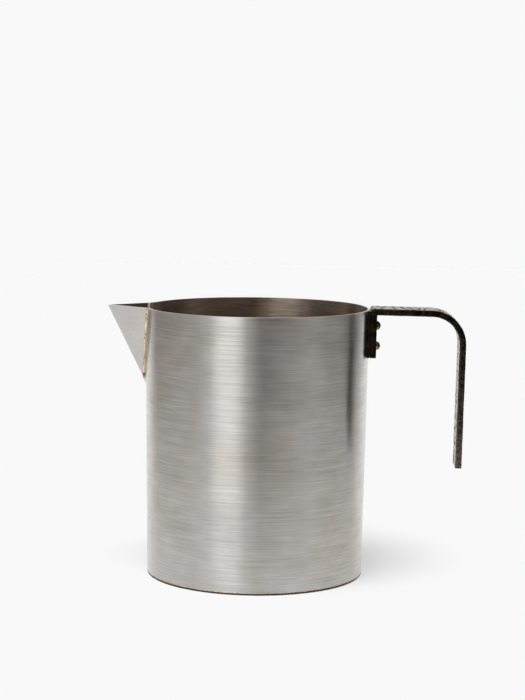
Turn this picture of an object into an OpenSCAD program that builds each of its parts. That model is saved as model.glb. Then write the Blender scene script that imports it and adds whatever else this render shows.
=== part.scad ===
// Pouring jug for melting candle wax: a tapered sheet-steel pot with a folded V spout,
// brass-brazed seams and a forged flat-bar handle held by two rivets.
// Origin: pot axis at the underside of the base. +Z up, spout towards -X, handle towards +X.

/* [Body] */
// Outside diameter at the foot, mm
foot_d = 120; // [90:1:150]
// Outside diameter at the rim, mm
rim_d = 124.2; // [118:0.2:156]
// Height from the table to the rim, mm
body_h = 148.8; // [130:0.2:190]
// Thickness of the wall and spout sheet, mm
sheet_t = 1; // [0.8:0.1:1.5]

/* [Base] */
// Thickness of the base disc, mm
base_t = 1; // [0.8:0.1:2]
// Rounding of the base disc's lower edge, mm
base_edge_r = 0.3; // [0.1:0.1:0.6]
// Height of the brass between the wall and the base disc, mm
base_filler_t = 0.25; // [0.1:0.05:0.5]
// Leg of the brass fillet inside the pot, mm
base_fillet = 1; // [0.5:0.1:2]

/* [Spout] */
// How far the tip stands out past the rim, mm
spout_reach = 21.1; // [15:0.1:26]
// Lean of the fold line from the vertical, degrees
spout_lean = 26.5; // [22:0.5:32]
// Angle of each side from the fold's middle plane, measured square to the fold, degrees
spout_half_angle = 40; // [34:1:44]
// Outside radius of the fold, mm
fold_r = 0.5; // [0.3:0.1:1.5]
// How far the wall's cut edges are turned out to meet the spout, mm
lip_h = 0.4; // [0.2:0.05:1.5]

/* [Brass seams] */
// Width of the spout's seam, measured square to the wall, mm
bead_w = 0.8; // [0.4:0.1:1.5]
// How far that seam stands proud of the sheet, mm
bead_proud = 0.15; // [0.05:0.05:0.4]
// Width of the wall's upright seam, mm
seam_w = 0.5; // [0.3:0.1:1]

/* [Handle] */
// Width of the flat bar, mm
strap_w = 20; // [14:1:26]
// Thickness of the flat bar, mm
strap_t = 3.7; // [2.5:0.1:4.5]
// From the wall to the outside face of the grip, mm
handle_reach = 53.4; // [46:0.2:65]
// How far the bar's top stands above the rim, mm
handle_rise = 0.9; // [0:0.05:2]
// Length of the grip below the rim, mm
grip_drop = 86.4; // [60:0.2:110]
// Length of the riveted tab below the rim, mm
tab_drop = 26.5; // [24:0.5:34]
// Outside radius of the bend at the rim, mm
tab_bend_r = 1.6; // [1:0.1:2.4]
// Outside radius of the bend at the grip, mm
grip_bend_r = 19; // [12:0.5:24]
// Thickness of the packer at its middle, mm
packer_t = 0.4; // [0.3:0.05:2]
// How far the packer's top lies below the rim, mm
packer_drop = 0.6; // [0:0.1:2]

/* [Rivets] */
// Diameter of a rivet's shank, mm
rivet_d = 3.2; // [2.5:0.1:4]
// Diameter of a rivet's domed head, mm
head_d = 5.3; // [5.2:0.1:5.8]
// Height of a rivet's domed head, mm
head_h = 2.5; // [2:0.05:2.6]
// Diameter of the tail hammered over inside the pot, mm
tail_d = 4.8; // [4.2:0.1:6]
// Height of that tail, mm
tail_h = 0.9; // [0.5:0.1:1.5]
// Depth of the upper rivet below the rim, mm
rivet_drop = 9.25; // [7:0.25:12]
// Distance between the two rivets, mm
rivet_pitch = 11.2; // [9:0.2:13]

/* [Hidden] */
$fn = 256;

foot_r = foot_d / 2;
rim_r = rim_d / 2;
// Lean of the wall from the vertical; the handle is square to the wall, so it leans with it.
taper = atan((rim_r - foot_r) / body_h);
wall_z0 = base_t + base_filler_t;
// Length that makes a cutting shape stand clear of what it cuts.
clear = 10;

// Spout: the planes of its sides meet in a line that the fold's rounding leaves empty.
fold_gap = fold_r / sin(spout_half_angle) - fold_r;
spout_x = -(rim_r + spout_reach + fold_gap / cos(spout_lean));
// Number of straight steps that round the fold
fold_steps = 12;
// Length of a side from the fold, enough to end inside the pot but short of its far wall.
side_l = 34;
side_end = side_l * [cos(spout_half_angle), sin(spout_half_angle)];
// Length of the fold from the tip down to a point inside the pot.
fold_l = 66;

// Handle: its bar starts outside the packer and is bent twice.
strap_u0 = packer_t;
strap_u1 = packer_t + strap_t;
// The tail stands off just enough to miss the wall, which curves towards it.
tail_gap = 0.05;
tail_u = -sheet_t - tail_gap;

steel = [0.72, 0.71, 0.69];
brass = [0.85, 0.74, 0.52];
iron = [0.13, 0.12, 0.11];
copper = [0.55, 0.33, 0.18];

// Outside radius of the wall at height z
function wall_r(z) = foot_r + (rim_r - foot_r) * z / body_h;

// A solid of revolution with the wall's outside surface, moved outwards by grow, from z0 to z1
module wall_solid(grow, z0, z1) {
    translate([0, 0, z0])
        cylinder(h = z1 - z0, r1 = wall_r(z0) + grow, r2 = wall_r(z1) + grow);
}

// The wall as a plain tapered tube
module wall_tube() {
    rotate_extrude()
        polygon([
            [wall_r(wall_z0) - sheet_t, wall_z0],
            [wall_r(wall_z0), wall_z0],
            [rim_r, body_h],
            [rim_r - sheet_t, body_h]
        ]);
}

// Everything that lies within half a seam's width of the seam's plane, on the handle's side
module seam_slab() {
    translate([0, -seam_w / 2, -clear])
        cube([rim_r + clear, seam_w, body_h + 2 * clear]);
}

// Moves from handle axes (x out from the wall, z up along it, origin at the rim) to the pot's
module on_wall() {
    translate([rim_r, 0, body_h])
        rotate([0, taper, 0])
            children();
}

// Moves to each rivet's axis, which then is +Z and starts at the wall's outside
module at_rivet(index) {
    on_wall()
        translate([0, 0, -rivet_drop - index * rivet_pitch])
            rotate([0, 90, 0])
                children();
}

module rivet_holes() {
    for (index = [0, 1])
        at_rivet(index)
            translate([0, 0, -clear])
                cylinder(h = 2 * clear, d = rivet_d);
}

// Moves to the fold: its line is the Z axis, and X points into the pot, square to the fold
module at_fold() {
    translate([spout_x, 0, body_h])
        rotate([0, -spout_lean, 0])
            children();
}

// Points of an arc about center from angle a0 to a1, in fold_steps straight steps
function arc(center, r, a0, a1) = [
    for (i = [0:fold_steps])
        let (a = a0 + (a1 - a0) * i / fold_steps)
            center + r * [cos(a), sin(a)]
];

// The V between the sheet's inside faces, made smaller by depth, with a sharp point
module v_inside(depth = 0) {
    shift = [(sheet_t + depth) / sin(spout_half_angle), 0];
    polygon([shift, side_end + shift, [side_end.x, -side_end.y] + shift]);
}

// The V that the sheet's outside faces make, grown by depth, with its point rounded
module v_outside(depth = 0) {
    shift = [depth / sin(spout_half_angle), 0];
    round_center = [fold_r / sin(spout_half_angle), 0];
    polygon(concat(
        [side_end - shift],
        arc(round_center, fold_r + depth, 90 + spout_half_angle, 270 - spout_half_angle),
        [[side_end.x, -side_end.y] - shift]
    ));
}

// The folded sheet, proud of its true faces by depth, long enough to run into the pot
module folded_sheet(depth = 0) {
    intersection() {
        at_fold()
            translate([0, 0, -fold_l])
                linear_extrude(fold_l + clear)
                    difference() {
                        v_outside(depth);
                        v_inside(-depth);
                    }
        translate([-2 * rim_r, -rim_r, 0])
            cube([2 * rim_r, 2 * rim_r, body_h]);
    }
}

// The space between the folded sheet's sides, carried on through the wall
module spout_space() {
    at_fold()
        translate([0, 0, -fold_l])
            linear_extrude(fold_l + 2 * clear)
                v_inside();
}

// The narrow lips that turn the wall's cut edges out along the spout's sides
module spout_lips() {
    difference() {
        intersection() {
            folded_sheet();
            wall_solid(lip_h, 0, body_h);
        }
        wall_solid(-sheet_t / 2, -clear, body_h + clear);
    }
}

module body_wall() {
    color(steel)
        difference() {
            union() {
                wall_tube();
                spout_lips();
            }
            spout_space();
            seam_slab();
            rivet_holes();
        }
}

module wall_seam() {
    color(brass)
        difference() {
            intersection() {
                wall_tube();
                seam_slab();
            }
            rivet_holes();
        }
}

module base_disc() {
    color(steel)
        rotate_extrude() {
            polygon([
                [0, 0],
                [foot_r - base_edge_r, 0],
                [foot_r, base_edge_r],
                [foot_r, base_t],
                [0, base_t]
            ]);
        }
}

module base_braze() {
    inner = wall_r(wall_z0) - sheet_t;
    color(brass)
        rotate_extrude()
            polygon([
                [inner - base_fillet, base_t],
                [foot_r, base_t],
                [wall_r(wall_z0), wall_z0],
                [inner, wall_z0],
                [wall_r(wall_z0 + base_fillet) - sheet_t, wall_z0 + base_fillet]
            ]);
}

module spout() {
    color(steel)
        difference() {
            folded_sheet();
            wall_solid(lip_h + bead_w, -clear, body_h + clear);
        }
}

// Brass between the wall's lips and the spout, down one side and up the other
module spout_braze() {
    color(brass)
        difference() {
            intersection() {
                folded_sheet(bead_proud);
                wall_solid(lip_h + bead_w, 0, body_h);
            }
            wall_solid(lip_h, -clear, body_h + clear);
        }
}

// What the bend at the rim takes off the bar's outer corner
module tab_bend_cut() {
    translate([strap_u0, 0, handle_rise])
        difference() {
            translate([-clear, -strap_w, -tab_bend_r])
                cube([clear + tab_bend_r, 2 * strap_w, clear + tab_bend_r]);
            translate([tab_bend_r, 0, -tab_bend_r])
                rotate([90, 0, 0])
                    cylinder(h = 3 * strap_w, r = tab_bend_r, center = true);
        }
}

// The quarter turn between the arm and the grip, about its own centre
module grip_bend() {
    rotate([90, 0, 0])
        translate([0, 0, -strap_w / 2])
            rotate_extrude(angle = 90)
                translate([grip_bend_r - strap_t, 0])
                    square([strap_t, strap_w]);
}

module handle_strap() {
    bend_u = handle_reach - grip_bend_r;
    bend_v = handle_rise - grip_bend_r;
    color(iron)
        difference() {
            on_wall() {
                translate([strap_u0, -strap_w / 2, -tab_drop])
                    cube([strap_t, strap_w, tab_drop + handle_rise]);
                translate([strap_u0, -strap_w / 2, handle_rise - strap_t])
                    cube([bend_u - strap_u0, strap_w, strap_t]);
                translate([bend_u, 0, bend_v])
                    grip_bend();
                translate([handle_reach - strap_t, -strap_w / 2, -grip_drop])
                    cube([strap_t, strap_w, grip_drop + bend_v]);
            }
            on_wall()
                tab_bend_cut();
            rivet_holes();
        }
}

module handle_packer() {
    color(iron)
        difference() {
            on_wall()
                translate([-clear, -strap_w / 2, -tab_drop])
                    cube([clear + packer_t, strap_w, tab_drop - packer_drop]);
            wall_solid(0, 0, body_h + clear);
            rivet_holes();
        }
}

// A dome of diameter d and height h, standing on z = 0
module dome(d, h) {
    dome_r = (d * d / 4 + h * h) / (2 * h);
    intersection() {
        translate([0, 0, h - dome_r])
            sphere(r = dome_r);
        translate([-d, -d, 0])
            cube(2 * d);
    }
}

module rivet(index) {
    color(copper)
        at_rivet(index) {
            translate([0, 0, tail_u])
                cylinder(h = strap_u1 - tail_u, d = rivet_d);
            translate([0, 0, strap_u1])
                dome(head_d, head_h);
            translate([0, 0, tail_u])
                rotate([180, 0, 0])
                    dome(tail_d, tail_h);
        }
}

module rivet_upper() {
    rivet(0);
}

module rivet_lower() {
    rivet(1);
}

body_wall();
wall_seam();
base_disc();
base_braze();
spout();
spout_braze();
handle_strap();
handle_packer();
rivet_upper();
rivet_lower();
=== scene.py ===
"""The looks of a candle melting pot: a brushed steel jug with a folded spout brazed on with brass,
and a forged black handle held by two rivets. Every length is in metres, in the CAD's frame:
the pot's axis is Z, the spout points to -X and the handle to +X."""

import math

import bmesh
import bpy
import numpy as np
from mathutils import Matrix, Vector, noise


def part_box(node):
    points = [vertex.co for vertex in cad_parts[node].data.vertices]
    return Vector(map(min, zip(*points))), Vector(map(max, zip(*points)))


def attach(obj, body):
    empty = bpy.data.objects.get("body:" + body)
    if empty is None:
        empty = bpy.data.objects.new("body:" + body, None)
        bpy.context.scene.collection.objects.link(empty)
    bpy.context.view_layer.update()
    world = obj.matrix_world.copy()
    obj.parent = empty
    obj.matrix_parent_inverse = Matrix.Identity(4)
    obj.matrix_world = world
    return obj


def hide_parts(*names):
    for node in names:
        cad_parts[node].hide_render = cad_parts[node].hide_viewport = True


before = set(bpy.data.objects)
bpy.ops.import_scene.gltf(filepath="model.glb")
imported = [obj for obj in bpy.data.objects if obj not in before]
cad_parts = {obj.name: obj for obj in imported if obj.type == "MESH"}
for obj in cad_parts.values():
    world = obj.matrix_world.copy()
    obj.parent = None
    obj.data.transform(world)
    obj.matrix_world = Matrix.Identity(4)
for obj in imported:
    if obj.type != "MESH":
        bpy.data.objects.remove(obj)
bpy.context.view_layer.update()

MM = 0.001
TAU = 2 * math.pi

# The pot, from the CAD's boxes
RIM_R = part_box("body_wall")[1].y
RIM_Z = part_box("body_wall")[1].z
WALL_Z0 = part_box("body_wall")[0].z
FOOT_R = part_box("base_disc")[1].x
BASE_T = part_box("base_disc")[1].z
SHEET = 1.0 * MM
TAPER = math.atan((RIM_R - FOOT_R) / RIM_Z)
WALL_WOBBLE = 0.10 * MM

# The spout: how its fold leans, the angle of each side from the middle plane, and its fold
LEAN = math.radians(26.5)
HALF_ANGLE = math.radians(40)
FOLD_R = 0.5 * MM
TIP_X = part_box("spout")[0].x
APEX_X = TIP_X - (FOLD_R / math.sin(HALF_ANGLE) - FOLD_R) / math.cos(LEAN)

# The brass seam: its width, and how far it lies outside the wall at its bottom, middle and top.
# The wall's edge is turned out further on the back than on the front.
SEAM_W = 1.2 * MM
SEAM_OFF_BOTTOM = 2.2 * MM
SEAM_OFF_MIDDLE = {"front": 0.9 * MM, "back": 2.5 * MM}
SEAM_OFF_TOP = {"front": 0.2 * MM, "back": 3.7 * MM}
SEAM_PROUD = 0.16 * MM
SEAM_DEPTH = 0.6 * MM

# The wall's upright seam, behind the handle
UPRIGHT_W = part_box("wall_seam")[1].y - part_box("wall_seam")[0].y

# The handle, in its own axes: u out from the wall, v up along it, both from the rim
STRAP_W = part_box("handle_strap")[1].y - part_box("handle_strap")[0].y
STRAP_T = 3.7 * MM
PACKER_T = 0.4 * MM
HANDLE_REACH = 53.4 * MM
HANDLE_RISE = 0.9 * MM
GRIP_X = RIM_R + HANDLE_REACH - STRAP_T
GRIP_DROP = 86.4 * MM
TAB_DROP = 26.5 * MM
PACKER_DROP = 0.6 * MM
GRIP_BEND_R = 19.0 * MM
TAB_BEND_R = 1.6 * MM
INSIDE_CORNER_R = 0.5 * MM
STRAP_EDGE_R = 0.45 * MM

# The rivets
RIVET_DROP = 9.25 * MM
RIVET_PITCH = 11.2 * MM
SHANK_R = 1.6 * MM
HEAD_R = 2.65 * MM
HEAD_H = 2.5 * MM
TAIL_R = 2.4 * MM
TAIL_H = 0.9 * MM
TAIL_GAP = 0.05 * MM

# The hammered bar: depth and size of the hammer's marks, the waves, the scale and the edge's nicks
MARK_DEPTH, MARK_SIZE = 0.11 * MM, 6 * MM
WAVE_DEPTH, WAVE_SIZE = 0.07 * MM, 14 * MM
SCALE_DEPTH, SCALE_SIZE = 0.06 * MM, 1.3 * MM
NICK_DEPTH, NICK_SIZE = 0.8 * MM, 2.2 * MM

# How finely round shapes are drawn, and how sharp an edge is before it gets rounded
BASE_STEPS = 288
RIVET_STEPS = 40
BEVEL_STEPS = 3
SHARP_ANGLE = math.radians(50)
HALVINGS = 50


# ---------------------------------------------------------------- mesh helpers

def patch(bm, points, slot=0):
    """Adds a grid of faces through points, an array of rows x columns x 3, with the material in that slot."""
    points = np.asarray(points, float)
    rows, cols = points.shape[:2]
    verts = [[bm.verts.new(points[i, j]) for j in range(cols)] for i in range(rows)]
    for i in range(rows - 1):
        for j in range(cols - 1):
            face = bm.faces.new((verts[i][j], verts[i][j + 1], verts[i + 1][j + 1], verts[i + 1][j]))
            face.material_index = slot


def on_side(points, side):
    """A grid made for the front of the pot's middle plane, put on that side of it."""
    return np.asarray(points, float) * (1, 1 if side == "front" else -1, 1)


def piece(bm, name, materials, nodes, edge_r=0.0, weld=1e-6):
    """Welds the patches in bm into one smooth piece that stands for the CAD nodes."""
    bmesh.ops.remove_doubles(bm, verts=bm.verts, dist=weld)
    bmesh.ops.dissolve_degenerate(bm, edges=bm.edges, dist=weld)
    bmesh.ops.recalc_face_normals(bm, faces=bm.faces)
    mesh = bpy.data.meshes.new(name)
    bm.to_mesh(mesh)
    bm.free()
    mesh.shade_smooth()
    obj = bpy.data.objects.new(name, mesh)
    bpy.context.scene.collection.objects.link(obj)
    for material in materials if isinstance(materials, tuple) else (materials,):
        mesh.materials.append(material)
    if edge_r:
        bevel = obj.modifiers.new("rounded edges", "BEVEL")
        bevel.width = edge_r
        bevel.segments = BEVEL_STEPS
        bevel.limit_method = "ANGLE"
        bevel.angle_limit = SHARP_ANGLE
        bevel.harden_normals = True
        mesh.set_sharp_from_angle(angle=SHARP_ANGLE)
    # Keeps the bright spots that the steel would throw on the paper out of the picture.
    obj.visible_diffuse = False
    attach(obj, "root")
    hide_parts(*nodes)
    return obj


def close_borders(bm, outer, inner):
    """Joins the four borders of two grids."""
    for border in (np.s_[0], np.s_[-1], np.s_[:, 0], np.s_[:, -1]):
        patch(bm, [outer[border], inner[border]])


def lump(point, scale, seed):
    """Smooth noise from -1 to 1 with features about scale long; seed moves it elsewhere."""
    return noise.noise(Vector(point) / scale + Vector((seed, seed * 1.7, -seed)))


def swell(point, scale, seed):
    """The same noise, from 0 to 1."""
    return 0.5 + 0.5 * lump(point, scale, seed)


def dent(point, scale, seed):
    """0 in the middle of a hammer mark to about 1 at its border."""
    place = Vector(point) / scale + Vector((seed, -seed, seed * 0.6))
    return min(1.0, noise.voronoi(place)[0][0] * 1.3)


def wall_r(z):
    """Outside radius of the wall at height z."""
    return FOOT_R + (RIM_R - FOOT_R) * z / RIM_Z


def on_wall(u, y, v):
    """A point given in the handle's axes, in the pot's."""
    return (
        RIM_R + u * math.cos(TAPER) + v * math.sin(TAPER),
        y,
        RIM_Z - u * math.sin(TAPER) + v * math.cos(TAPER),
    )


# ---------------------------------------------------------------- spout geometry

# Seen from above, each side of the spout runs at this angle from the pot's middle plane
PLAN_ANGLE = math.atan(math.tan(HALF_ANGLE) * math.cos(LEAN))
# A side's thickness, seen from above
PLAN_SHEET = SHEET / math.hypot(math.sin(HALF_ANGLE) * math.cos(LEAN), math.cos(HALF_ANGLE))
ALONG = np.array([math.cos(PLAN_ANGLE), -math.sin(PLAN_ANGLE)])


def apex(z):
    """Where the planes of the spout's outside faces meet, at height z."""
    return np.array([APEX_X + (RIM_Z - z) * math.tan(LEAN), 0.0])


def side_length(z):
    """How far it is from the apex to the wall, along a side, at height z."""
    a, r = apex(z), wall_r(z)
    along = a @ ALONG
    return -along - math.sqrt(max(0.0, along * along - a @ a + r * r))


def height_where(length):
    """The height at which a side is that long."""
    low, high = RIM_Z / 2, RIM_Z
    for _ in range(HALVINGS):
        middle = (low + high) / 2
        if side_length(middle) * (apex(middle)[0] < -wall_r(middle)) < length:
            low = middle
        else:
            high = middle
    return high


SEAM_Z0 = height_where(SEAM_OFF_BOTTOM)
NOTCH_Z0 = height_where(SEAM_OFF_BOTTOM - SEAM_W / 2)
SPOUT_Z0 = height_where(SEAM_OFF_BOTTOM + SEAM_W / 2)


def seam_offset(z, side):
    """How far the middle of the seam lies outside the wall, along a side, at height z."""
    place = min(1.0, max(0.0, (z - SEAM_Z0) / (RIM_Z - SEAM_Z0)))
    bottom, middle, top = SEAM_OFF_BOTTOM, SEAM_OFF_MIDDLE[side], SEAM_OFF_TOP[side]
    bend = 4 * middle - 2 * bottom - 2 * top
    return bottom + (top - bottom) * place + bend * place * (1 - place)


def seam_point(z, side, shift=0.0):
    """The middle of the seam at height z, as if on the front, moved along the side by shift."""
    flat = apex(z) + max(0.0, side_length(z) - seam_offset(z, side) + shift) * ALONG
    return np.array([flat[0], flat[1], z])


# ---------------------------------------------------------------- pieces

# The wall's close columns lie within this angle from -X
NOTCH_ZONE = math.radians(42)
# How far from the cut the wall starts to bend out
LIP_LENGTH = 7.0 * MM
# The wall's rows below and beside the notch, its columns in the notch zone and round the rest,
# and how much the first ones crowd towards the cut
ROWS_BELOW, ROWS_BESIDE = 46, 62
COLUMNS_NEAR, COLUMNS_FAR = 44, 120
CROWDING = 1.3
# The wall's unevenness: its size, how much it is drawn out upwards, and the angle over which
# it fades towards the spout and the upright seam
WOBBLE_SIZE = 30 * MM
WOBBLE_UPWARDS = 0.7
WOBBLE_FADE = 0.2


def lip(z, side):
    """Angle from -X of the wall's edge at height z, and how far it is turned out there (in if negative)."""
    cut_z = max(z, NOTCH_Z0)
    edge = seam_point(cut_z, side, SEAM_W / 2)
    fade = max(0.0, 1 - (NOTCH_Z0 - z) / LIP_LENGTH * 2) if z < NOTCH_Z0 else 1.0
    out = math.hypot(edge[0], edge[1]) - wall_r(cut_z)
    return math.atan2(-edge[1], -edge[0]), out * fade * fade


def wall_heights():
    """Heights of the wall's rows, and the number of the first row that the notch reaches."""
    below = np.linspace(WALL_Z0, NOTCH_Z0, ROWS_BELOW)
    beside = np.linspace(NOTCH_Z0, RIM_Z, ROWS_BESIDE)[1:]
    return np.concatenate([below, beside]), len(below) - 1


def wall_angles(start, z):
    """Angles from -X of one row's points, from the notch round to the upright seam."""
    end = math.pi - UPRIGHT_W / 2 / wall_r(z)
    near = start + (NOTCH_ZONE - start) * np.linspace(0, 1, COLUMNS_NEAR) ** CROWDING
    return np.concatenate([near, np.linspace(NOTCH_ZONE, end, COLUMNS_FAR)[1:]])


def wall_outside(heights, first_open, side):
    """One half of the wall's outside, as a grid from the notch round to the upright seam."""
    mirror = 1 if side == "front" else -1
    grid = []
    for i, z in enumerate(heights):
        row = []
        start, out = lip(z, side)
        start = start if i > first_open else 0.0
        for angle in wall_angles(start, z):
            near = max(0.0, 1 - (angle - start) * wall_r(z) / LIP_LENGTH)
            r = wall_r(z) + out * near * near
            x, y = -r * math.cos(angle), -r * math.sin(angle)
            far_from_ends = min(1.0, angle / WOBBLE_FADE, (math.pi - angle) / WOBBLE_FADE)
            wobble = swell((x, y * mirror, z * WOBBLE_UPWARDS), WOBBLE_SIZE, 3.1) * far_from_ends
            keep = 1 - WALL_WOBBLE * wobble / r
            row.append((x * keep, y * keep, z))
        grid.append(row)
    return np.array(grid)


def inwards(grid, distance, flat_rows):
    """The grid moved inwards along its normals. In its first flat_rows rows, column 0 stays in
    the middle plane."""
    down, across = np.gradient(grid, axis=0), np.gradient(grid, axis=1)
    normal = np.cross(down, across)
    normal[:flat_rows, 0, 1] = 0.0
    normal /= np.linalg.norm(normal, axis=2, keepdims=True)
    out = grid * (1, 1, 0)
    normal *= np.sign((normal * out).sum(2, keepdims=True))
    moved = grid - normal * distance
    moved[0, :, 2], moved[-1, :, 2] = grid[0, :, 2], grid[-1, :, 2]
    return moved


def make_wall(outside, inside, edge):
    heights, first_open = wall_heights()
    bm = bmesh.new()
    for side in ("front", "back"):
        outer = wall_outside(heights, first_open, side)
        inner = inwards(outer, SHEET, first_open + 1)
        patch(bm, on_side(outer, side))
        # Slot 1, the inside, takes the steel darkened for painted shade.
        patch(bm, on_side(inner, side), 1)
        # Slot 2, the cut edges, takes the near-white steel of painted highlight.
        patch(bm, on_side([outer[0], inner[0]], side), 2)
        patch(bm, on_side([outer[-1], inner[-1]], side))
        patch(bm, on_side([outer[:, -1], inner[:, -1]], side), 2)
        patch(bm, on_side([outer[first_open:, 0], inner[first_open:, 0]], side), 2)
    return piece(bm, "pot_wall", (outside, inside, edge), ["body_wall"], edge_r=0.18 * MM)


def make_upright_seam(material):
    """A hairline of filler that closes the rolled wall."""
    heights = np.linspace(WALL_Z0, RIM_Z, 120)
    across = np.linspace(-UPRIGHT_W / 2, UPRIGHT_W / 2, 7)
    grids = []
    for depth, proud in ((0.0, 1), (SHEET, -1)):
        grid = []
        for z in heights:
            row = []
            for y in across:
                bulge = math.cos(math.pi * y / UPRIGHT_W) * (0.04 + 0.02 * lump((0, 0, z), 2 * MM, 7.7)) * MM
                row.append((math.sqrt(wall_r(z) ** 2 - y * y) - depth + proud * bulge, y, z))
            grid.append(row)
        grids.append(np.array(grid))
    outer, inner = grids
    bm = bmesh.new()
    patch(bm, outer)
    patch(bm, inner)
    close_borders(bm, outer, inner)
    return piece(bm, "pot_upright_seam", material, ["wall_seam"])


def spout_row(z, side):
    """Outside and inside points of one side at height z, from the fold to the seam, as if on the front."""
    a = apex(z)
    end = max(0.0, side_length(z) - seam_offset(z, side) - SEAM_W / 2)
    tangent = FOLD_R / math.tan(PLAN_ANGLE)
    bend_end = min(tangent, end)
    lengths = np.concatenate([np.linspace(0, bend_end, 6), np.linspace(bend_end, end, 30)[1:]])
    centre = a + (FOLD_R / math.sin(PLAN_ANGLE), 0.0)
    inner_apex = a + (PLAN_SHEET / math.sin(PLAN_ANGLE), 0.0)
    outer, inner = [], []
    for s in lengths:
        if s < tangent:
            turn = (math.pi / 2 - PLAN_ANGLE) * s / tangent
            flat = centre - FOLD_R * np.array([math.cos(turn), math.sin(turn)])
        else:
            flat = a + s * ALONG
        flat_in = inner_apex + max(0.0, s - PLAN_SHEET / math.tan(PLAN_ANGLE)) * ALONG
        outer.append((flat[0], flat[1], z))
        inner.append((flat_in[0], flat_in[1], z))
    return outer, inner


def make_spout(outside, inside, edge):
    bm = bmesh.new()
    for side in ("front", "back"):
        rows = [spout_row(z, side) for z in np.linspace(SPOUT_Z0, RIM_Z, 60)]
        outer, inner = (np.array([r[k] for r in rows]) for k in (0, 1))
        patch(bm, on_side(outer, side))
        # Slot 1, the spout's inside, takes the steel darkened for painted shade.
        patch(bm, on_side(inner, side), 1)
        # Slot 2, the cut edges, takes the near-white steel of painted highlight.
        patch(bm, on_side([outer[0], inner[0]], side), 2)
        patch(bm, on_side([outer[-1], inner[-1]], side), 2)
        patch(bm, on_side([outer[:, -1], inner[:, -1]], side), 2)
    return piece(bm, "spout_sheet", (outside, inside, edge), ["spout"], edge_r=0.15 * MM)


def seam_path():
    """The seam's middle line, from the front's top down to the fold and up to the back's top,
    and the way out of the sheet at each point."""
    bottom_z = SEAM_Z0 + 1.5 * MM
    heights = np.concatenate([np.linspace(RIM_Z, bottom_z, 90), np.linspace(bottom_z, SEAM_Z0, 8)[1:]])
    front, back = (on_side([seam_point(z, side) for z in heights], side) for side in ("front", "back"))
    out = np.array([
        -math.sin(HALF_ANGLE) * math.cos(LEAN),
        -math.cos(HALF_ANGLE),
        -math.sin(HALF_ANGLE) * math.sin(LEAN),
    ])
    turn = np.clip((heights - SEAM_Z0) / (2.5 * MM), 0, 1)[:, None]
    outs = out * (1, 0, 1) + out * (0, 1, 0) * turn
    path = np.concatenate([front, back[-2::-1]])
    outs = np.concatenate([outs, on_side(outs[-2::-1], "back")])
    return path, outs / np.linalg.norm(outs, axis=1, keepdims=True)


def seam_section(point, steps=16):
    """One rough cross-section of the brass, as (across, out) pairs."""
    ring = []
    for k in range(steps):
        turn = TAU * k / steps
        c, s = math.cos(turn), math.sin(turn)
        wide = SEAM_W / 2 * (1 + 0.22 * lump(point, 2.2 * MM, 11) + 0.12 * lump(point, 0.8 * MM, 12 + c))
        place = (point[0] + c * MM, point[1] + s * MM, point[2])
        high = SEAM_PROUD * (1 + 0.7 * lump(place, 1.1 * MM, 13)) if s > 0 else SEAM_DEPTH
        ring.append((wide * math.copysign(abs(c) ** 0.8, c), high * math.copysign(abs(s) ** 0.9, s)))
    return ring


def make_seam(material):
    path, outs = seam_path()
    tangents = np.gradient(path, axis=0)
    tangents /= np.linalg.norm(tangents, axis=1, keepdims=True)
    rings = []
    for point, tangent, out in zip(path, tangents, outs):
        side = np.cross(tangent, out)
        side /= np.linalg.norm(side)
        ring = [point + side * across + out * up for across, up in seam_section(point)]
        rings.append(ring + [ring[0]])
    rings = np.array(rings)
    rings[:, :, 2] = np.minimum(rings[:, :, 2], RIM_Z)
    bm = bmesh.new()
    patch(bm, rings)
    for ring in (rings[0], rings[-1]):
        middle = ring[:-1].mean(0)
        patch(bm, [ring, np.tile(middle, (len(ring), 1))])
    return piece(bm, "spout_brass_seam", material, ["spout_braze"])


def upright(x, y, z):
    """Where the lathe puts a point of a shape that stands on the pot's own axis."""
    return x, y, z


def lathe(bm, profile, steps, place, rough=lambda point: 0.0):
    """Turns profile, (radius, height) pairs, about its height axis. place turns a point of the
    turned shape into one of the pot, and rough is the share of its radius that it loses."""
    rings = []
    for r, h in profile:
        ring = []
        for k in range(steps + 1):
            turn = TAU * (k % steps) / steps
            p = Vector((r * math.cos(turn), r * math.sin(turn), h))
            ring.append(place(*(p * (1 - rough(p) if r else 1.0))))
        rings.append(ring)
    patch(bm, rings)


def arc(centre, radius, start, end, steps):
    """Points of an arc, angles in degrees."""
    turns = np.radians(np.linspace(start, end, steps))
    return [(centre[0] + radius * math.cos(t), centre[1] + radius * math.sin(t)) for t in turns]


def make_base(underside, inside):
    """The disc under the wall, with its lower edge rounded and its underside a little hollow."""
    edge = 0.35 * MM
    hollow = 0.25 * MM
    sag = 0.1 * MM
    rings = 40
    radii = np.linspace(0, FOOT_R - 4 * MM, rings)
    under = [(r, hollow * (1 - (r / radii[-1]) ** 4)) for r in radii]
    corner = arc((FOOT_R - edge, edge), edge, -90, 0, 6)
    over = [(r, BASE_T - sag * (1 - (r / FOOT_R) ** 2)) for r in np.linspace(FOOT_R, 0, rings)]
    bm = bmesh.new()
    lathe(bm, under + corner + over, BASE_STEPS, upright)
    # Slot 0, the underside and its rounded lower edge, takes the steel darkened for painted shade; slot 1,
    # the top, takes the pot's inside steel, also painted shade.
    for face in bm.faces:
        face.material_index = int(face.calc_center_median().z > BASE_T - 2 * sag)
    return piece(bm, "base_plate", (underside, inside), ["base_disc"])


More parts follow.
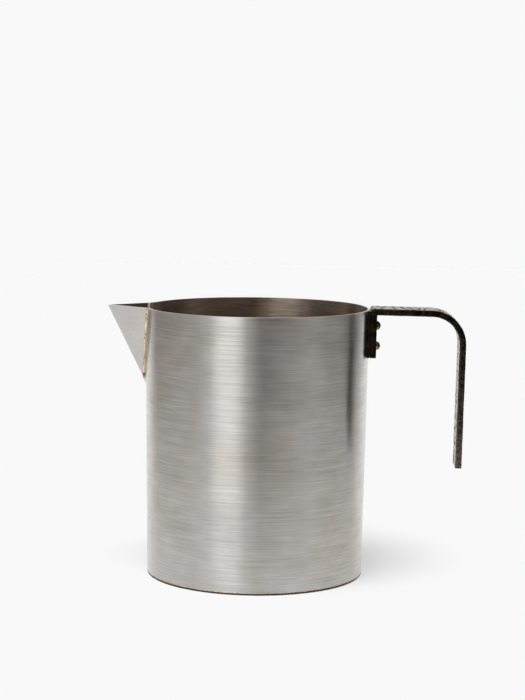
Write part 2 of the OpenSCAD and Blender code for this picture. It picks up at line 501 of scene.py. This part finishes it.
def make_base_seam(material):
    """The brass between the wall and the base, with its fillet inside the pot."""
    inner = wall_r(WALL_Z0) - SHEET
    fillet = 1.0 * MM
    hollow = arc((inner - fillet, WALL_Z0 + fillet), fillet, 0, -90, 8)
    hollow[-1] = (inner - fillet, BASE_T)
    profile = [(FOOT_R - 0.05 * MM, BASE_T), (FOOT_R, BASE_T + 0.12 * MM), (wall_r(WALL_Z0), WALL_Z0),
               (inner + 0.3 * MM, WALL_Z0 + 0.02 * MM)] + hollow + [(FOOT_R - 0.05 * MM, BASE_T)]

    def uneven(p):
        inside = max(0.0, min(1.0, (inner + 0.2 * MM - math.hypot(p.x, p.y)) / fillet + 0.2))
        return 0.004 * inside * lump(p, 4 * MM, 21)

    bm = bmesh.new()
    lathe(bm, profile, BASE_STEPS, upright, uneven)
    return piece(bm, "base_brass_seam", material, ["base_braze"])


def strap_lines():
    """The bar's outside and inside lines, from the tab's end to the grip's, as matching (u, v) points."""
    u0, u1 = PACKER_T, PACKER_T + STRAP_T
    top, under = HANDLE_RISE, HANDLE_RISE - STRAP_T
    bend_u, bend_v = HANDLE_REACH - GRIP_BEND_R, HANDLE_RISE - GRIP_BEND_R
    step = 0.5 * MM
    outer, inner = [], []

    def straight(a, b, c, d):
        count = max(2, round(math.dist(a, b) / step))
        for k in range(count):
            outer.append(tuple(np.array(a) + (np.array(b) - a) * k / count))
            inner.append(tuple(np.array(c) + (np.array(d) - c) * k / count))

    corner, hollow = TAB_BEND_R, INSIDE_CORNER_R
    straight((u0, -TAB_DROP), (u0, top - corner), (u1, -TAB_DROP), (u1, under - hollow))
    outer += arc((u0 + corner, top - corner), corner, 180, 90, 8)[:-1]
    inner += arc((u1 + hollow, under - hollow), hollow, 180, 90, 8)[:-1]
    straight((u0 + corner, top), (bend_u, top), (u1 + hollow, under), (bend_u, under))
    steps = round(GRIP_BEND_R * math.pi / 2 / step)
    outer += arc((bend_u, bend_v), GRIP_BEND_R, 90, 0, steps)[:-1]
    inner += arc((bend_u, bend_v), GRIP_BEND_R - STRAP_T, 90, 0, steps)[:-1]
    end_u = HANDLE_REACH - STRAP_T
    straight((HANDLE_REACH, bend_v), (HANDLE_REACH, -GRIP_DROP), (end_u, bend_v), (end_u, -GRIP_DROP))
    outer.append((HANDLE_REACH, -GRIP_DROP))
    inner.append((end_u, -GRIP_DROP))
    return np.array(outer), np.array(inner)


def strap_section():
    """The bar's rounded cross-section: each point's y and depth under the outside face, and its way out."""
    half, r = STRAP_W / 2, STRAP_EDGE_R
    ring = []

    def corner(cy, cd, start):
        for turn in np.radians(np.linspace(start, start + 90, 4)):
            ring.append((cy + r * math.cos(turn), cd + r * math.sin(turn), math.cos(turn), math.sin(turn)))

    flat = np.linspace(-half + r, half - r, 38)[1:-1]
    deep = np.linspace(r, STRAP_T - r, 7)[1:-1]
    ring += [(y, 0.0, 0.0, -1.0) for y in flat]
    corner(half - r, r, -90)
    ring += [(half, d, 1.0, 0.0) for d in deep]
    corner(half - r, STRAP_T - r, 0)
    ring += [(y, STRAP_T, 0.0, 1.0) for y in flat[::-1]]
    corner(-half + r, STRAP_T - r, 90)
    ring += [(-half, d, -1.0, 0.0) for d in deep[::-1]]
    corner(-half + r, r, 180)
    return ring


def hammered(point, out):
    """How far the hammer has driven the bar's surface in at a point."""
    marks = MARK_DEPTH * (1 - dent(point, MARK_SIZE, 31))
    waves = WAVE_DEPTH * swell(point, WAVE_SIZE, 32)
    scale = SCALE_DEPTH * swell(point, SCALE_SIZE, 33)
    nicks = NICK_DEPTH * abs(out[0] * out[1]) * swell(point, NICK_SIZE, 34)
    return marks + waves + scale + nicks


def strap_rings():
    outer, inner = strap_lines()
    section = strap_section()
    rings = []
    for o, i in zip(outer, inner):
        through = (i - o) / np.linalg.norm(i - o)
        ring = []
        for y, depth, out_y, out_d in section:
            u, v = o + (i - o) * depth / STRAP_T
            drive = hammered((u, y, v), (out_y, out_d))
            u, v = np.array([u, v]) - through * out_d * drive
            ring.append(on_wall(u, y - out_y * drive, v))
        rings.append(ring + [ring[0]])
    return np.array(rings)


def rounded_end(rings, at):
    """Extra rings that close the bar at its first or last ring, with a rounded edge."""
    last, before = (rings[0], rings[1]) if at == 0 else (rings[-1], rings[-2])
    middle = last[:-1].mean(0)
    along = middle - before[:-1].mean(0)
    along /= np.linalg.norm(along)
    r = STRAP_EDGE_R
    half = STRAP_T / 2
    caps = []
    for turn in np.radians([0, 30, 60, 90]):
        inset = r * (1 - math.cos(turn))
        to_middle = middle - last
        size = np.linalg.norm(to_middle, axis=1, keepdims=True)
        shrink = np.minimum(1.0, inset / np.minimum(size, half))
        drawn_in = last + to_middle * shrink * half / np.maximum(size, half)
        caps.append(drawn_in - along * (r - r * math.sin(turn)))
    caps.append(middle + (caps[-1] - middle) * 0.5)
    caps.append(np.tile(middle, (len(last), 1)))
    return caps


def make_strap(material):
    rings = strap_rings()
    front, back = rounded_end(rings, 0), rounded_end(rings, -1)
    bm = bmesh.new()
    patch(bm, np.array(front[::-1] + list(rings[1:-1]) + back))
    bar = piece(bm, "handle_bar", material, ["handle_strap"])
    # Keeps the paper clean beside the pot's own shadow.
    bar.visible_shadow = False
    return bar


def make_packer(material):
    """The thin saddle between the bar's tab and the round wall."""
    across = np.linspace(-STRAP_W / 2, STRAP_W / 2, 31)
    downs = np.linspace(-TAB_DROP, -PACKER_DROP, 40)
    outer, inner = [], []
    for v in downs:
        r = RIM_R + v * math.sin(TAPER)
        outer.append([on_wall(PACKER_T - 0.02 * MM, y, v) for y in across])
        inner.append([on_wall(math.sqrt(r * r - y * y) - r, y, v) for y in across])
    outer, inner = np.array(outer), np.array(inner)
    ragged = [0.15 * MM * swell((0, i * 0.6 * MM, 0), 2 * MM, 41) for i in range(len(downs))]
    for grid in (outer, inner):
        for column in (0, -1):
            grid[:, column, 1] -= np.copysign(ragged, grid[:, column, 1])
    bm = bmesh.new()
    patch(bm, outer)
    patch(bm, inner)
    close_borders(bm, outer, inner)
    return piece(bm, "handle_packing", material, ["handle_packer"], edge_r=0.1 * MM)


def dome(edge_r, height, steps):
    """A dome's profile as (radius, height above its flat side), from its top to its edge."""
    dome_r = (edge_r ** 2 + height ** 2) / (2 * height)
    spread = math.degrees(math.asin(edge_r / dome_r))
    return [(0.0, height)] + arc((0, height - dome_r), dome_r, 90, 90 - spread, steps)[1:]


def rivet_profile():
    """A whole rivet, as (radius, height): the tail inside the pot, the shank and the domed head."""
    tail_u = -SHEET - TAIL_GAP
    head_u = PACKER_T + STRAP_T
    tail = [(r, tail_u - up) for r, up in dome(TAIL_R, TAIL_H, 10)]
    head = [(r, head_u + up) for r, up in reversed(dome(HEAD_R, HEAD_H, 14))]
    return tail + [(SHANK_R, tail_u), (SHANK_R, head_u), (HEAD_R - 0.12 * MM, head_u)] + head


def make_rivet(name, node, index, material):
    drop = -RIVET_DROP - index * RIVET_PITCH

    def in_hole(across, up, u):
        return on_wall(u, across, drop + up)

    def peened(p):
        if p.z <= PACKER_T + STRAP_T:
            return 0.0
        return 0.05 * (1 - dent(p, 1.7 * MM, 51 + 7 * index)) + 0.02 * swell(p, MM, 53 + index)

    bm = bmesh.new()
    lathe(bm, rivet_profile(), RIVET_STEPS, in_hole, peened)
    return piece(bm, name, material, [node])


# ---------------------------------------------------------------- materials

class Tree:
    """A node tree, with one call that adds a node, sets it and joins its inputs."""

    def __init__(self, owner):
        owner.use_nodes = True
        self.tree = owner.node_tree
        self.tree.nodes.clear()

    def add(self, kind, inputs=None, **settings):
        node = self.tree.nodes.new("ShaderNode" + kind)
        for key, value in settings.items():
            setattr(node, key, value)
        for key, value in (inputs or {}).items():
            if isinstance(value, bpy.types.NodeSocket):
                self.tree.links.new(value, node.inputs[key])
            else:
                node.inputs[key].default_value = value
        return node

    def math(self, operation, a, b=0.0, clamp=False):
        return self.add("Math", {0: a, 1: b}, operation=operation, use_clamp=clamp).outputs[0]

    def vector(self, operation, a, b):
        return self.add("VectorMath", {0: a, 1: b}, operation=operation)

    def pattern(self, place, scale, size, detail=3.0, roughness=0.5, distortion=0.0):
        """Noise with features of size metres; scale stretches it along each axis."""
        stretched = self.vector("MULTIPLY", place, tuple(s / size for s in scale)).outputs[0]
        return self.add("TexNoise", {"Vector": stretched, "Scale": 1.0, "Detail": detail,
                                     "Roughness": roughness, "Distortion": distortion}).outputs["Fac"]

    def remap(self, value, low, high, to_low=0.0, to_high=1.0):
        return self.add("MapRange", {"Value": value, "From Min": low, "From Max": high,
                                     "To Min": to_low, "To Max": to_high}).outputs[0]

    def blend(self, factor, a, b, mode="MIX"):
        node = self.add("Mix", data_type="RGBA", blend_type=mode)
        for socket, value in zip((node.inputs[0], node.inputs[6], node.inputs[7]), (factor, a, b)):
            if isinstance(value, bpy.types.NodeSocket):
                self.tree.links.new(value, socket)
            else:
                socket.default_value = value
        return node.outputs[2]

    def bump(self, height, distance, strength=1.0, normal=None):
        inputs = {"Height": height, "Distance": distance, "Strength": strength}
        if normal is not None:
            inputs["Normal"] = normal
        return self.add("Bump", inputs).outputs[0]

    def surface(self, inputs):
        shader = self.add("BsdfPrincipled", inputs)
        self.add("OutputMaterial", {"Surface": shader.outputs[0]})


def grey(value, warm=0.0):
    """A linear grey, a little warmer or cooler."""
    return (value * (1 + warm), value, value * (1 - 1.3 * warm), 1.0)


# Linear colours
STAIN = (0.98, 0.95, 0.91, 1)
GOLD, CREAM, PIT = (0.70, 0.50, 0.24, 1), (0.95, 0.85, 0.64, 1), (0.10, 0.055, 0.025, 1)
SCALE_BLACK, SCALE_BROWN = (0.018, 0.015, 0.012, 1), (0.060, 0.048, 0.038, 1)
WORN_IRON, RUST = (0.18, 0.152, 0.125, 1), (0.09, 0.065, 0.045, 1)
WARM_GLINT = (1.0, 0.93, 0.86, 1)
RUBBED_BRONZE, OLD_BRONZE = (0.46, 0.30, 0.16, 1), (0.05, 0.03, 0.017, 1)
# A quarter turn, which draws the steel's highlights out across its brushing
ALONG_BRUSHING = 0.25


def new_material(name):
    material = bpy.data.materials.new(name)
    tree = Tree(material)
    place = tree.add("TexCoord").outputs["Object"]
    return material, tree, place


def brushed_steel(name, light, dark, grain, roughness, anisotropy, metallic=1.0):
    """Steel brushed in lines along the axes on which grain is small, with warmer stains."""
    material, tree, place = new_material(name)
    hair = tree.pattern(place, grain, 0.38 * MM, detail=1.0, roughness=0.6)
    shorter = tuple(g * 1.6 if g < 1 else g for g in grain)
    line = tree.pattern(place, shorter, 1.5 * MM, detail=2.0, roughness=0.6)
    cloud = tree.pattern(place, (1, 1, 1.6), 22 * MM, detail=5.0, roughness=0.6)
    stain = tree.pattern(place, (1, 1, 0.7), 34 * MM, detail=3.0, distortion=0.6)
    streak = tree.math("ADD", tree.math("MULTIPLY", hair, 0.92), tree.math("MULTIPLY", line, 0.08))
    tone = tree.math("ADD", tree.remap(streak, 0.38, 0.62, -0.52, 0.52),
                     tree.remap(cloud, 0.3, 0.7, -0.5, 0.5))
    colour = tree.blend(tree.remap(tone, -1.0, 1.0), dark, light)
    colour = tree.blend(tree.remap(stain, 0.42, 0.66), colour, STAIN, "MULTIPLY")
    rough = tree.math("ADD", tree.remap(streak, 0.3, 0.7, roughness - 0.008, roughness + 0.008),
                      tree.remap(cloud, 0.3, 0.7, -0.01, 0.01))
    tangent = tree.add("Tangent", direction_type="RADIAL", axis="Z").outputs[0]
    normal = tree.bump(streak, 0.01 * MM, 0.2)
    tree.surface({"Base Color": colour, "Metallic": metallic, "Roughness": rough, "Anisotropic": anisotropy,
                  "Anisotropic Rotation": ALONG_BRUSHING, "Tangent": tangent, "Normal": normal})
    return material


def brass(name):
    """Brazing brass that was filed back, cream to gold with dark pits."""
    material, tree, place = new_material(name)
    patches = tree.pattern(place, (1, 1, 0.6), 3.5 * MM, detail=3.0)
    colour = tree.blend(tree.remap(patches, 0.35, 0.65), GOLD, CREAM)
    pits = tree.pattern(place, (1, 1, 0.7), 1.3 * MM, detail=2.0, roughness=0.7)
    pitted = tree.remap(pits, 0.58, 0.64)
    colour = tree.blend(pitted, colour, PIT)
    rough = tree.remap(pits, 0.3, 0.7, 0.30, 0.55)
    normal = tree.bump(tree.math("SUBTRACT", patches, pitted), 0.10 * MM, 0.5)
    tree.surface({"Base Color": colour, "Metallic": 1.0, "Roughness": rough, "Normal": normal})
    return material


def black_iron(name):
    """Forged bar, scaled black, browner where it is handled, with a crinkled skin."""
    material, tree, place = new_material(name)
    scale = tree.pattern(place, (1, 1, 1), 1.8 * MM, detail=5.0, roughness=0.65)
    mottle = tree.pattern(place, (1, 1, 1), 9 * MM, detail=4.0)
    colour = tree.blend(tree.remap(mottle, 0.4, 0.7), SCALE_BLACK, SCALE_BROWN)
    axes = tree.add("SeparateXYZ", {0: place})
    held = tree.math("MULTIPLY", tree.remap(axes.outputs[0], GRIP_X - 12 * MM, GRIP_X),
                     tree.remap(axes.outputs[2], RIM_Z - 8 * MM, RIM_Z - GRIP_DROP), clamp=True)
    worn = tree.math("MULTIPLY", held, tree.remap(scale, 0.30, 0.62, 0.4, 1.0))
    colour = tree.blend(worn, colour, WORN_IRON)
    colour = tree.blend(tree.remap(scale, 0.58, 0.75), colour, RUST)
    fleck = tree.pattern(place, (1, 0.22, 1), 2.2 * MM, detail=3.0, roughness=0.6)
    rough = tree.math("ADD", tree.remap(scale, 0.3, 0.7, 0.10, 0.26), tree.remap(fleck, 0.50, 0.62, 0.0, 0.4))
    crinkle = tree.pattern(place, (1, 1, 1), 0.8 * MM, detail=3.0, roughness=0.6)
    normal = tree.bump(scale, 0.22 * MM, 0.5)
    normal = tree.bump(crinkle, 0.14 * MM, 0.5, normal)
    tree.surface({"Base Color": colour, "Metallic": 1.0, "Roughness": rough,
                  "Specular Tint": WARM_GLINT, "Normal": normal})
    return material


def rivet_metal(name):
    """Bronze rivet, oxidised brown with rubbed golden patches."""
    material, tree, place = new_material(name)
    age = tree.pattern(place, (1, 1, 1), 1.8 * MM, detail=4.0)
    colour = tree.blend(tree.remap(age, 0.30, 0.60), RUBBED_BRONZE, OLD_BRONZE)
    rough = tree.remap(age, 0.3, 0.7, 0.25, 0.5)
    normal = tree.bump(age, 0.1 * MM, 0.4)
    tree.surface({"Base Color": colour, "Metallic": 1.0, "Roughness": rough, "Normal": normal})
    return material


# ---------------------------------------------------------------- studio

# Brightness of the paper behind and under the pot
PAPER = 0.947
# Each light that the steel reflects, as degrees and a brightness: the way to it round the pot,
# from 0 on the side of -Y (negative towards -X), then its half width, soft border and brightness.
# The glow is a wider, dimmer light round the key.
KEY = (-28, 0, 20, 0.64)
KEY_GLOW = (-28, 0, 36, 0.42)
LEFT_WALL = (-80, 30, 50, 0.24)
RIGHT_WALL = (80, 25, 50, 0.14)
BACKDROP = (180, 22, 36, 0.95)
ROOM = 0.035
# The soft light overhead: where it starts and is full, as heights of a direction, and its brightness
TOP_START = 0.45
TOP_FULL = 0.9
TOP_LIGHT = 0.6
# The lights' tint where they are dim and where they are bright
DIM, DIM_TINT = 0.05, (1.13, 0.985, 0.85, 1)
BRIGHT, BRIGHT_TINT = 0.5, (1.0, 0.99, 0.98, 1)
# The paper's own colour, and the lamp that leaves the soft shadow on it: its share of the
# paper's light, the way to it (azimuth from +X) and its spread
PAPER_ALBEDO = 0.82
SOFT_SHARE = 0.44
SOFT_AZIMUTH = math.radians(244)
SOFT_ELEVATION = math.radians(72.7)
SOFT_SPREAD = math.radians(29)
# The sheet of paper: half its width, and how far it reaches to the front and back
FLOOR_SIDE, FLOOR_FRONT, FLOOR_BACK = 0.45, -0.30, 2.5
# The camera: its place, the way it looks, how far it then turns round the pot, and its lens
CAMERA_SPOT = Vector((1.96, -1046.4, 244.9)) * MM
CAMERA_PITCH = math.radians(6.55)
CAMERA_YAW = math.radians(0.06)
CAMERA_ROLL = math.radians(0.76)
CAMERA_TURN = math.radians(1.7)
SENSOR_WIDTH = 36.0
LENS = 97.48
CLIP = (0.05, 50.0)


def panel(tree, flat_direction, light):
    """A tall soft light round the pot, as its brightness in each direction."""
    azimuth, half, border, strength = light
    turn = math.radians(azimuth)
    towards = (math.sin(turn), -math.cos(turn), 0.0)
    facing = tree.vector("DOT_PRODUCT", flat_direction, towards).outputs["Value"]
    node = tree.add("MapRange", {"Value": facing, "From Min": math.cos(math.radians(half + border)),
                                 "From Max": math.cos(math.radians(half)), "To Min": 0.0, "To Max": strength},
                    interpolation_type="SMOOTHSTEP")
    return node.outputs[0]


def make_world():
    world = bpy.data.worlds.new("studio")
    bpy.context.scene.world = world
    tree = Tree(world)
    direction = tree.add("TexCoord").outputs["Generated"]
    level_part = tree.vector("MULTIPLY", direction, (1, 1, 0)).outputs[0]
    flat = tree.vector("NORMALIZE", level_part, (0, 0, 0)).outputs[0]
    level = ROOM
    for light in (KEY, KEY_GLOW, LEFT_WALL, RIGHT_WALL, BACKDROP):
        level = tree.math("ADD", panel(tree, flat, light), level)
    up = tree.add("SeparateXYZ", {0: direction}).outputs[2]
    overhead = tree.add("MapRange", {"Value": up, "From Min": TOP_START, "From Max": TOP_FULL, "To Min": 0.0,
                                     "To Max": TOP_LIGHT}, interpolation_type="SMOOTHSTEP").outputs[0]
    level = tree.math("ADD", level, overhead)
    tint = tree.blend(tree.remap(level, DIM, BRIGHT), DIM_TINT, BRIGHT_TINT)
    lit = tree.add("Background", {"Color": tint, "Strength": level})
    seen = tree.add("Background", {"Color": (PAPER, PAPER, PAPER, 1.0), "Strength": 1.0})
    is_camera = tree.add("LightPath").outputs["Is Camera Ray"]
    mixed = tree.add("MixShader", {0: is_camera, 1: lit.outputs[0], 2: seen.outputs[0]})
    tree.add("OutputWorld", {"Surface": mixed.outputs[0]})
    world.cycles_visibility.diffuse = False


def make_lamp(name, share, azimuth, elevation, spread, shadow):
    """A lamp for matt surfaces only, which gives that share of the light on the paper."""
    towards = Vector((math.cos(azimuth) * math.cos(elevation), math.sin(azimuth) * math.cos(elevation),
                      math.sin(elevation)))
    data = bpy.data.lights.new(name, "SUN")
    data.energy = share * PAPER / PAPER_ALBEDO * math.pi / math.sin(elevation)
    data.angle = spread
    data.use_shadow = shadow
    lamp = bpy.data.objects.new(name, data)
    lamp.rotation_euler = towards.to_track_quat("Z", "Y").to_euler()
    lamp.visible_glossy = False
    bpy.context.scene.collection.objects.link(lamp)


def make_floor():
    """A sheet of pale paper under the pot."""
    side, front, back = FLOOR_SIDE, FLOOR_FRONT, FLOOR_BACK
    mesh = bpy.data.meshes.new("floor")
    corners = [(-side, front, 0), (side, front, 0), (side, back, 0), (-side, back, 0)]
    mesh.from_pydata(corners, [], [(0, 1, 2, 3)])
    floor = bpy.data.objects.new("floor", mesh)
    bpy.context.scene.collection.objects.link(floor)
    material = bpy.data.materials.new("paper")
    tree = Tree(material)
    tree.surface({"Base Color": grey(PAPER_ALBEDO), "Roughness": 1.0, "Specular IOR Level": 0.0})
    mesh.materials.append(material)


def make_camera():
    """A long lens a little above the rim, turned so that the handle's end comes towards it."""
    data = bpy.data.cameras.new("camera")
    data.sensor_width = SENSOR_WIDTH
    data.lens = LENS
    data.clip_start, data.clip_end = CLIP
    camera = bpy.data.objects.new("camera", data)
    bpy.context.scene.collection.objects.link(camera)
    pitch, yaw, roll = CAMERA_PITCH, CAMERA_YAW, CAMERA_ROLL
    forward = Vector((math.sin(yaw) * math.cos(pitch), math.cos(yaw) * math.cos(pitch), -math.sin(pitch)))
    right = forward.cross(Vector((0, 0, 1))).normalized()
    up = right.cross(forward)
    tilted = right * math.cos(roll) + up * math.sin(roll)
    up = up * math.cos(roll) - right * math.sin(roll)
    axes = [tilted, up, -forward]
    matrix = [[axes[c][r] for c in range(3)] + [CAMERA_SPOT[r]] for r in range(3)] + [[0, 0, 0, 1]]
    camera.matrix_world = Matrix.Rotation(CAMERA_TURN, 4, "Z") @ Matrix(matrix)
    bpy.context.scene.camera = camera


# ---------------------------------------------------------------- assembly

body_steel = brushed_steel("brushed_steel_wall", (0.73, 0.71, 0.69, 1), (0.47, 0.455, 0.435, 1),
                           grain=(0.014, 0.014, 1.0), roughness=0.30, anisotropy=1.0)
# Painted shade: the pot's inside is a darker, warmer steel than its outside, for the shade inside the pot.
shaded_inner_steel = brushed_steel("shaded_steel_inside", (0.62, 0.52, 0.43, 1), (0.30, 0.25, 0.205, 1),
                            grain=(0.03, 0.03, 1.0), roughness=0.24, anisotropy=1.0)
# Painted shade: the inside of the spout is steel darkened almost to brown-black, for the shade between its
# sides.
shaded_spout_inner = brushed_steel("shaded_steel_spout_inside", (0.25, 0.19, 0.14, 1), (0.12, 0.09, 0.065, 1),
                            grain=(0.1, 0.1, 1.0), roughness=0.30, anisotropy=0.6)
# Painted highlight: the sheet's cut edges are a near-white, partly matt steel, so they show as light lines.
highlight_edge_steel = brushed_steel("highlighted_steel_edge", grey(0.92, 0.01), grey(0.80, 0.02),
                           grain=(0.3, 0.3, 1.0), roughness=0.30, anisotropy=0.0, metallic=0.6)
spout_steel = brushed_steel("brushed_steel_spout", grey(0.66, 0.01), grey(0.54, 0.02),
                            grain=(0.25, 0.25, 1.0), roughness=0.34, anisotropy=0.3)
# Painted shade: the base's underside and rounded lower edge are steel darkened almost to black, for the shade
# where the pot meets the paper.
shaded_base_steel = brushed_steel("shaded_steel_base", grey(0.10, 0.04), grey(0.05, 0.06),
                           grain=(0.15, 1.0, 1.0), roughness=0.42, anisotropy=0.0)
brass_metal = brass("brazing_brass")
iron = black_iron("forged_black_iron")
bronze = rivet_metal("rivet_bronze")

make_wall(body_steel, shaded_inner_steel, highlight_edge_steel)
make_upright_seam(brass_metal)
make_spout(spout_steel, shaded_spout_inner, highlight_edge_steel)
make_seam(brass_metal)
make_base(shaded_base_steel, shaded_inner_steel)
make_base_seam(brass_metal)
make_strap(iron)
make_packer(iron)
make_rivet("rivet_top", "rivet_upper", 0, bronze)
make_rivet("rivet_bottom", "rivet_lower", 1, bronze)

make_world()
make_lamp("soft_lamp", SOFT_SHARE, SOFT_AZIMUTH, SOFT_ELEVATION, SOFT_SPREAD, True)
make_lamp("fill_lamp", 1 - SOFT_SHARE, 0.0, math.pi / 2, SOFT_SPREAD, False)
make_floor()
make_camera()
bpy.context.scene.view_settings.view_transform = "Standard"
